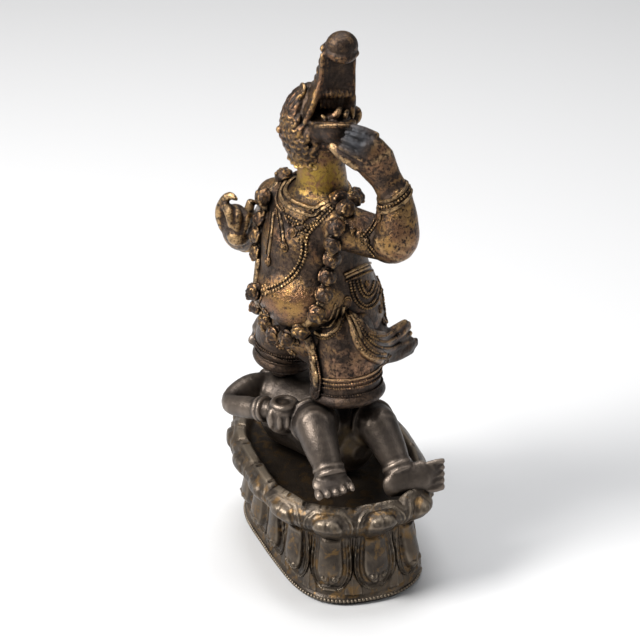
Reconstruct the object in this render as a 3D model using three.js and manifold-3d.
// Gilt bronze figure of an animal-headed guardian deity, drinking from a skull cup and
// standing on a reclining man, on an oval lotus base. Millimetres, +Z up. The origin is
// the centre of the base's underside, the long axis of the base lies along X, and the
// deity's back is towards +Y.
import * as THREE from "three";
import { mergeVertices } from "three/addons/utils/BufferGeometryUtils.js";
import Module from "manifold-3d";

const wasm = await Module();
wasm.setup();

// Driving dimensions of the lotus base
const FOOT_X = 40;
const FOOT_Y = 25.8;
// Below 1 the foot's oval has full corners
const FOOT_POWER = 0.77;
const RIM_HEIGHT = 35;
const FLOOR_HEIGHT = 30.5;
const RIM_WALL = 1.4;
// How far the rim stands outside the foot's oval
const RIM_OFFSET = -1.2;
const PETALS = 14;
const STEPS_PER_PETAL = 4;
// How far the first petal stands past the end of the oval, as a share of a petal
const PETAL_SHIFT = 0.15;
// Petals stand round the front and the ends only: the back of the base is plain
const PLAIN_BACK = [2, 3, 4, 5];
const LOWER_SWELL = 3.5;
const UPPER_SWELL = 3.6;

// Driving dimensions of the deity. FACING is how far its chest turns from -Y towards +X.
const FACING = THREE.MathUtils.degToRad(28);
const BELLY_RADIUS = 15.5;
const NECK_RADIUS = 7.4;
const NECK_TOP = 140;
const SNOUT_TOP = 176;
const LEFT_HEM = { x: 14, y: 1, z: 60, r: 11.2 };
const RIGHT_HEM = { x: -15, y: -11, z: 60, r: 9.2 };
const GARLAND_HEAD = 2.6;
const GARLAND_CORD = 1.4;
const GARLAND_HEADS = 23;
// Mane: tiers of locks, from the angle and height of the first one
const MANE = { first: 80, sweep: 230, foot: 139.5, tier: 6.4, tiers: 3, widest: 6 };

// Clearance kept between neighbouring castings
const CASTING_GAP = 0.3;

// Fineness: points nearer than WELD are one, and a limb's rounded end is a ring drawn in
// to END_SHARE of the limb and a reach of END_REACH of it
const WELD = 1e-4;
const END_SHARE = 0.5;
const END_REACH = 0.75;
const UPRIGHT = 0.85;

const v = (x, y, z) => new THREE.Vector3(x, y, z);

// Places in the deity's own directions: its left, its front, and up, from its axis
const AXIS = v(0, -7, 0);
const LEFT = v(Math.cos(FACING), Math.sin(FACING), 0);
const FRONT = v(Math.sin(FACING), -Math.cos(FACING), 0);
const body = (left, front, z) => AXIS.clone().addScaledVector(LEFT, left)
  .addScaledVector(FRONT, front).setZ(z);

// A closed three.js geometry becomes a solid
function toSolid(geometry) {
  const bare = geometry.clone();
  bare.deleteAttribute("normal");
  bare.deleteAttribute("uv");
  const merged = mergeVertices(bare, WELD);
  return new wasm.Manifold(new wasm.Mesh({
    numProp: 3,
    vertProperties: new Float32Array(merged.attributes.position.array),
    triVerts: new Uint32Array(merged.index.array),
  }));
}

// A solid becomes a three.js geometry
function toGeometry(solid) {
  const mesh = solid.getMesh();
  const geometry = new THREE.BufferGeometry();
  geometry.setAttribute("position", new THREE.BufferAttribute(mesh.vertProperties, 3));
  geometry.setIndex(new THREE.BufferAttribute(mesh.triVerts, 1));
  geometry.computeVertexNormals();
  return geometry;
}

function union(solids) {
  return solids.reduce((whole, next) => whole.add(next));
}

// The main body of a solid, without slivers left by a cut or a join
function mainBody(solid) {
  return solid.decompose().reduce((best, next) => (next.volume() > best.volume() ? next : best));
}

// An ellipsoid: centre, three radii, and turns about X, Y and Z in degrees
function blob(centre, radii, turns = [0, 0, 0], sides = 10, rings = 6) {
  const geometry = new THREE.SphereGeometry(1, sides, rings);
  geometry.rotateX(Math.PI / 2);
  geometry.scale(...radii);
  const [tx, ty, tz] = turns.map(THREE.MathUtils.degToRad);
  geometry.applyMatrix4(new THREE.Matrix4().makeRotationFromEuler(new THREE.Euler(tx, ty, tz, "ZYX")));
  geometry.translate(centre.x, centre.y, centre.z);
  return toSolid(geometry);
}

// A limb: a round-ended tube through the stations [point, radius], each radius a number
// or [across, upright] for an oval section, whose width may be turned to a given direction
function limb(stations, sides = 8, steps = 2, wide = null) {
  const curve = new THREE.CatmullRomCurve3(stations.map(([p]) => p), false, "centripetal");
  const rows = (stations.length - 1) * steps;
  const geometry = new THREE.CylinderGeometry(1, 1, 1, sides, rows + 2);
  const position = geometry.attributes.position;
  const radiusAt = (t) => {
    const k = Math.min(Math.floor(t * (stations.length - 1)), stations.length - 2);
    const f = t * (stations.length - 1) - k;
    const [a, b] = [stations[k][1], stations[k + 1][1]].map((r) => (Array.isArray(r) ? r : [r, r]));
    return [0, 1].map((i) => a[i] + (b[i] - a[i]) * f);
  };
  const run = curve.getPoint(1).sub(curve.getPoint(0)).normalize();
  const level = Math.abs(run.z) > UPRIGHT ? LEFT.clone() : v(0, 0, 1).cross(run).normalize();
  const hint = wide || level;
  const point = v(0, 0, 0);
  for (let i = 0; i < position.count; i += 1) {
    point.fromBufferAttribute(position, i);
    const row = Math.round((0.5 + point.y) * (rows + 2));
    const inner = THREE.MathUtils.clamp(row - 1, 0, rows);
    const t = inner / rows;
    const overshoot = row - 1 - inner;
    const [ra, rb] = radiusAt(t);
    const shrink = overshoot === 0 ? 1 : END_SHARE;
    const reach = overshoot * END_REACH * Math.min(ra, rb);
    const along = curve.getTangent(t);
    const across = hint.clone().addScaledVector(along, -hint.dot(along)).normalize();
    const up = along.clone().cross(across).normalize();
    const onAxis = Math.hypot(point.x, point.z) < WELD;
    const place = curve.getPoint(t).addScaledVector(along, reach);
    if (!onAxis) {
      place.addScaledVector(across, point.x * ra * shrink);
      place.addScaledVector(up, -point.z * rb * shrink);
    }
    position.setXYZ(i, place.x, place.y, place.z);
  }
  const solid = toSolid(geometry);
  if (solid.volume() > 0) return solid;
  geometry.setIndex(Array.from(geometry.index.array).reverse());
  return toSolid(geometry);
}

// A turned piece: profile [radius, height] from the axis back to the axis
function turned(profile, centre, lean = [0, 0], sides = 18) {
  const geometry = new THREE.LatheGeometry(profile.map(([r, h]) => new THREE.Vector2(r, h)), sides);
  geometry.rotateX(Math.PI / 2);
  geometry.rotateX(THREE.MathUtils.degToRad(lean[0]));
  geometry.rotateY(THREE.MathUtils.degToRad(lean[1]));
  geometry.translate(centre.x, centre.y, centre.z);
  const solid = toSolid(geometry);
  if (solid.volume() > 0) return solid;
  geometry.setIndex(Array.from(geometry.index.array).reverse());
  return toSolid(geometry);
}

// A small round jewel
const bead = (centre, r) => {
  const geometry = new THREE.SphereGeometry(r, 5, 3);
  geometry.translate(centre.x, centre.y, centre.z);
  return toSolid(geometry);
};

// Swell of one row of petals round the base: 1 on the lobe, less on the petal's flat, 0 in
// the seam between two petals
function petalSwell(step) {
  const place = step % STEPS_PER_PETAL;
  if (PLAIN_BACK.includes(Math.floor(step / STEPS_PER_PETAL) % PETALS)) return 0;
  return [0, 0.85, 1, 0.85][place];
}

// Oval double-lotus base: a beaded foot, a row of petals hanging down, a row of petals
// standing up and curling out, and a thin rim round a sunk floor
// The foot's outline
class FootOval extends THREE.Curve {
  getPoint(t, target = new THREE.Vector3()) {
    const turn = 2 * Math.PI * t;
    const [x, y] = [Math.cos(turn), Math.sin(turn)]
      .map((c) => Math.sign(c) * Math.abs(c) ** FOOT_POWER);
    return target.set(FOOT_X * x, FOOT_Y * y, 0);
  }
}

function lotusBase() {
  const stations = [
    // [offset from the foot's outline, height, swell of the petals]
    [-2.2, 0, 0],
    [-0.6, 1, 0],
    [-1.8, 3.4, 0.3],
    [-2.2, 6, LOWER_SWELL * 0.85],
    [-2.2, 12, LOWER_SWELL],
    [-2.3, 17, LOWER_SWELL * 0.6],
    [-2.3, 20.5, 0.3],
    [0.4, 25, UPPER_SWELL * 0.8],
    [2.6, 29, UPPER_SWELL],
    [1.6, 32.4, UPPER_SWELL * 0.5],
    [RIM_OFFSET, RIM_HEIGHT, 0.2],
    [RIM_OFFSET - RIM_WALL, RIM_HEIGHT - 0.4, 0],
    [RIM_OFFSET - RIM_WALL - 1.2, FLOOR_HEIGHT, 0],
  ];
  const segments = PETALS * STEPS_PER_PETAL;
  const profile = [new THREE.Vector2(0, 0)];
  stations.forEach((s, i) => profile.push(new THREE.Vector2(i + 1, s[1])));
  profile.push(new THREE.Vector2(0, FLOOR_HEIGHT));
  const geometry = new THREE.LatheGeometry(profile, segments);
  const position = geometry.attributes.position;
  const rows = profile.length;
  // petals stand at equal steps along the foot's oval
  const oval = new FootOval();
  for (let i = 0; i < position.count; i += 1) {
    const column = Math.floor(i / rows) % segments;
    const row = i % rows;
    const place = oval.getPointAt((column / segments + PETAL_SHIFT / PETALS) % 1);
    if (row === 0 || row === rows - 1) {
      position.setXYZ(i, 0, 0, row === 0 ? 0 : FLOOR_HEIGHT);
      continue;
    }
    const [offset, z, swell] = stations[row - 1];
    const out = offset + swell * petalSwell(column + 2);
    position.setXYZ(i, place.x * (1 + out / FOOT_X), place.y * (1 + out / FOOT_Y), z);
  }
  const solid = toSolid(geometry);
  if (solid.volume() > 0) return solid;
  geometry.setIndex(Array.from(geometry.index.array).reverse());
  return toSolid(geometry);
}

// The man lies on his back along the base, knees drawn up, head turned to the front
function recliningMan() {
  const toes = (from, step, size) => Array.from({ length: 5 }, (_, i) => (
    blob(from.clone().addScaledVector(step, i), [size, size, size], [0, 0, 0], 5, 3)
  ));
  return union([
    // trunk, hips and loincloth
    limb([[v(8, 1, 43), [11, 12]], [v(-4, -2, 43.4), [12.5, 13.4]], [v(-16, -7, 43), [14.5, 13]],
      [v(-22, -9, 43), [12, 10]]], 11, 1),
    blob(v(-13, -4, 52), [6, 6, 4], [0, 0, 0], 8, 5),
    blob(v(-16, -13, 50.6), [6, 6, 4], [0, 0, 0], 8, 5),
    // neck and head, raised and turned to the front
    limb([[v(-20, -8, 48), 6.4], [v(-25, -9.5, 54), 4.8], [v(-28, -10.5, 59), 4.6]], 9, 1),
    blob(v(-30, -10.5, 63), [5.6, 6.2, 7], [0, 0, 0], 10, 7),
    blob(v(-32, -8, 67.6), [3.4, 3.4, 3], [0, 0, 0], 7, 5),
    blob(v(-29.5, -15.4, 61.4), [2.4, 2.2, 2.8], [0, 0, 0], 6, 4),
    // right arm, elbow over the rim, fist on the belly round an empty socket
    limb([[v(-20, -15, 48), 5.2], [v(-17.6, -22, 50.2), 4.2], [v(-11.6, -29, 49.4), 3.4],
      [v(-4, -26.2, 51), 3.6], [v(3, -22, 53.4), 3.1]], 8, 1),
    turned([[0, -3.8], [4.2, -3.4], [5, 0], [4.2, 4], [1.7, 4.1], [1.6, 0.4], [0, 0.3]],
      v(8, -17.8, 53.8), [0, 10], 10),
    // left arm laid along the side
    limb([[v(-22, 2, 44), 5.6], [v(-18, 12, 41), 4.5], [v(-8, 17, 38.5), 3.8],
      [v(6, 15, 38), 3.2]], 7, 1),
    // right leg, foot on the rim
    limb([[v(4, -5, 44), 8.5], [v(12, -9.4, 51), 7.4], [v(18.7, -11.2, 54.6), 6.6]], 8, 1),
    limb([[v(18.7, -11.2, 54.6), 6.4], [v(24.4, -11, 50), 5.2], [v(30.6, -10.4, 43.4), 4]], 8, 1),
    limb([[v(30, -10.4, 41), [3.8, 3.6]], [v(37.4, -11, 39.4), [5.8, 2.6]]], 8, 1),
    ...toes(v(38.6, -16, 39.2), v(0.4, 2.5, 0.1), 1.5),
    // left leg, foot turned out over the rim
    limb([[v(4, 5, 44), 8.5], [v(12, 8, 48.5), 7.4], [v(18.2, 9.4, 50.6), 6.4]], 8, 1),
    limb([[v(18.2, 9.4, 50.6), 6.3], [v(24, 11.4, 44.6), 5], [v(29.2, 12.8, 39), 3.9]], 8, 1),
    limb([[v(33, 8.4, 37), [2.8, 3.4]], [v(30.6, 23.2, 38.4), [2.4, 4.6]]], 8, 1),
    ...toes(v(30.8, 25.4, 41.8), v(-0.1, 0.2, -1.6), 1.4),
  ]);
}

// The deity's legs, each under a bell of cloth with a rolled hem, and its short feet
function legs() {
  const bell = (hem, top, lean) => turned([[0, top], [hem.r * 0.7, top - 1], [hem.r * 0.9, 13],
    [hem.r * 0.94, 6], [hem.r + 0.7, 1.8], [hem.r, 0.2], [0, 1.4]], v(hem.x, hem.y, hem.z), lean, 14);
  const foot = (hem) => blob(v(hem.x - 1, hem.y, hem.z - 1), [hem.r * 0.55, hem.r * 0.55, 6]);
  return union([bell(LEFT_HEM, 28, [3, -6]), bell(RIGHT_HEM, 24, [-4, 8]), foot(LEFT_HEM), foot(RIGHT_HEM)]);
}

function trunk() {
  return union([
    blob(v(0, -1, 80), [17, 18, 12], [0, 0, 28], 12, 6),
    blob(body(2, 4.4, 94), [BELLY_RADIUS, BELLY_RADIUS - 1, 13], [0, 0, 28], 13, 8),
    limb([[v(0, 1, 84), [17, 15]], [v(0, -3, 98), [15.2, 13.2]], [body(0, 1.5, 110), [15.5, 13]],
      [body(0, 1.5, 118), [13, 10.5]], [v(0, -3.5, 122), [9, 8.5]]], 14, 1),
    limb([[body(-15, -1, 118), 6.6], [body(0, -1, 120), 7.4], [body(15.5, 1, 118.5), 7]], 9, 1),
    limb([[v(0, -4, 110), NECK_RADIUS + 1.5], [v(0, -3, 127), NECK_RADIUS],
      [v(0, -3.5, NECK_TOP), NECK_RADIUS]], 12, 1),
  ]);
}

function arms() {
  const finger = (points, r) => limb(points.map((p) => [p, r]), 5, 1);
  return union([
    // left arm, raised with the cup
    limb([[body(15, 1, 118.5), 7], [v(21, 10, 113), 6.8], [v(24.5, 12, 113), 7.2],
      [v(24.2, 12, 121), 6.3], [v(23, 11.6, 130), 5.2]], 9, 1),
    limb([[v(23, 11.6, 129), [5.2, 4.8]], [v(22, 8.6, 136), [4.8, 4.4]],
      [v(20.8, 4.4, 143.6), [6, 3.8]], [v(18.8, -0.6, 149.8), [5.4, 2.6]]], 8, 1, v(0.2, 1, 0.35)),
    finger([v(20, 1, 141.5), v(17.5, -3, 143.6), v(14.5, -6.5, 143.4)], 1.6),
    // skull cup held to the mouth
    blob(v(12.6, -3, 147.8), [6, 4.8, 4], [0, 0, -18], 8, 5),
    // right arm, hand curled before the chest
    limb([[body(-14.5, -1, 118), 6.8], [v(-24, -10, 110), 6], [v(-29, -11, 102.5), 5.6],
      [v(-26, -17, 100), 4.8], [v(-21.5, -22, 102), 3.8]], 9, 1),
    limb([[v(-21, -22.4, 102), [3.8, 3.6]], [v(-19, -25, 107.5), [5.4, 4.4]],
      [v(-18, -25.6, 112), [4.8, 3.4]]], 8, 1),
    finger([v(-18, -27.5, 112), v(-17, -29, 116), v(-16, -27, 118.8)], 1.7),
    finger([v(-18, -22.5, 108), v(-15.4, -20, 112), v(-15, -19.6, 115.6)], 1.8),
    finger([v(-19, -28.5, 110), v(-15.5, -29.5, 109), v(-14.5, -26, 108.6)], 1.7),
    finger([v(-19, -28.3, 106.6), v(-15.5, -28.6, 105.4), v(-14.8, -25, 105.4)], 1.7),
  ]);
}

// The head is thrown back and turned to its left: the snout stands straight up, and the
// open mouth faces the cup. A mane of curled locks lies round it.
function head() {
  const skull = { centre: v(-1.5, -4.8, 145.6), across: 8.9, upright: 13 };
  const lock = (angle, z) => {
    const a = THREE.MathUtils.degToRad(angle);
    const share = Math.sqrt(1 - ((z - skull.centre.z) / skull.upright) ** 2);
    const surface = skull.across * share;
    const at = (r, dz) => v(skull.centre.x + r * Math.cos(a), skull.centre.y + r * Math.sin(a), z + dz);
    return limb([[at(surface - 1.5, 1), 2.9], [at(surface + 1.6, -2.4), 1.3]], 4, 1);
  };
  const locks = [];
  for (let tier = 0; tier < MANE.tiers; tier += 1) {
    const count = MANE.widest - tier;
    for (let i = 0; i < count; i += 1) {
      const share = (i + 0.5 * (tier % 2)) / count;
      locks.push(lock(MANE.first + MANE.sweep * share, MANE.foot + tier * MANE.tier));
    }
  }
  const broad = v(0, 1, 0);
  return union([
    blob(skull.centre, [skull.across + 0.6, skull.across + 0.4, skull.upright], [0, 0, 0], 10, 7),
    limb([[v(0, -3, 150), [7, 7]], [v(3, -0.6, 158), [5.9, 5]], [v(4, 1, 165), [5.8, 3.8]],
      [v(4.4, 2, 171), [5.6, 3.4]]], 10, 1, broad),
    blob(v(4.8, 2.6, SNOUT_TOP - 4.6), [4.6, 4.7, 4.6], [0, 0, 0], 10, 7),
    limb([[v(1, -4, 145), [6.4, 4]], [v(7, -3.2, 148.6), [6, 2.2]], [v(10, -2.6, 149.8), [4.6, 1.4]]], 8, 1),
    ...locks,
  ]);
}

// Long garland of severed heads, hung from both shoulders
function garland() {
  const run = new THREE.CatmullRomCurve3([
    body(16, 4, 125), v(15.5, -2, 119), v(15.5, -4.8, 110), v(16, -6.6, 101), v(15.5, -8.2, 92),
    v(12.5, -12.6, 84), v(7, -17.5, 78.5), v(0, -20.5, 78), v(-7, -21, 80.5), v(-13.5, -19, 87),
    v(-16.5, -18.5, 98), v(-15.5, -19.5, 110), v(-14, -18.6, 121), v(-14, -14, 126.5),
  ], false, "centripetal");
  const rows = 2 * GARLAND_HEADS - 2;
  const stations = run.getSpacedPoints(rows).map((p, i) => [p, i % 2 ? GARLAND_CORD : GARLAND_HEAD]);
  return limb(stations, 5, 1);
}

// Scarf falling from the belt behind, its two ends blown out
function scarf() {
  const tails = [];
  for (let i = 0; i < 3; i += 1) {
    const drop = i * 3;
    tails.push(limb([[v(0.5, 15, 77 - drop), [2.4, 2]], [v(0, 17, 70.5 - drop), [2.4, 2]],
      [v(-1, 22, 67.6 - drop * 1.1), [2.2, 1.9]], [v(-3, 29.5 - i * 1.2, 72 - i * 4.4), [1.4, 1]]], 6, 1));
  }
  return union([
    limb([[v(-1, 9, 98), [7, 3]], [v(-1, 14, 88), [6, 3]], [v(0, 15, 76), [5.6, 3]],
      [v(0, 13, 66), [5, 2.4]]], 8, 1),
    ...tails,
  ]);
}

function ornaments() {
  const ring = (centre, r, wire, lean) => {
    const geometry = new THREE.TorusGeometry(r, wire, 4, 11);
    geometry.rotateX(THREE.MathUtils.degToRad(lean[0]));
    geometry.rotateY(THREE.MathUtils.degToRad(lean[1]));
    geometry.translate(centre.x, centre.y, centre.z);
    return toSolid(geometry);
  };
  return [
    ring(v(0.5, -4.5, 123.6), 10.6, 1.1, [8, 4]),
    ring(v(22.8, 11.4, 130.6), 5.5, 0.9, [30, 0]),
    ring(v(14, 1, 66.5), 10.6, 0.9, [3, 0]),
    bead(v(10.5, -13.5, 110), 2.4),
    bead(v(9, -19.5, 97), 2.4),
    limb([[v(13, 1, 123), 1.2], [v(12.5, -9, 116), 1.2], [v(10.5, -14, 109), 1.2],
      [v(9.5, -19.5, 100), 1.2], [v(0, -23.5, 94), 1.2]], 5, 2),
  ];
}

function deity() {
  return union([trunk(), legs(), arms(), head(), garland(), scarf(), ...ornaments()]);
}

function piece(name, solid, colour, roughness) {
  const material = new THREE.MeshStandardMaterial({ color: colour, roughness, metalness: 1 });
  const mesh = new THREE.Mesh(toGeometry(solid), material);
  mesh.name = name;
  return mesh;
}

// A copy of a casting grown by the clearance, to cut what rests on it
function grown(solid) {
  const g = CASTING_GAP;
  const shifts = [[g, g, g], [-g, g, g], [g, -g, g], [-g, -g, g]];
  return union(shifts.map((s) => solid.translate(s)));
}

const base = lotusBase();
const man = mainBody(recliningMan().subtract(grown(base)));
const figure = mainBody(deity().subtract(grown(man)));

const figureGroup = new THREE.Group();
figureGroup.add(piece("lotus_base", base, 0x4a4033, 0.5));
figureGroup.add(piece("reclining_man", man, 0x4b433b, 0.45));
figureGroup.add(piece("deity", figure, 0x9a7438, 0.35));

export default figureGroup;
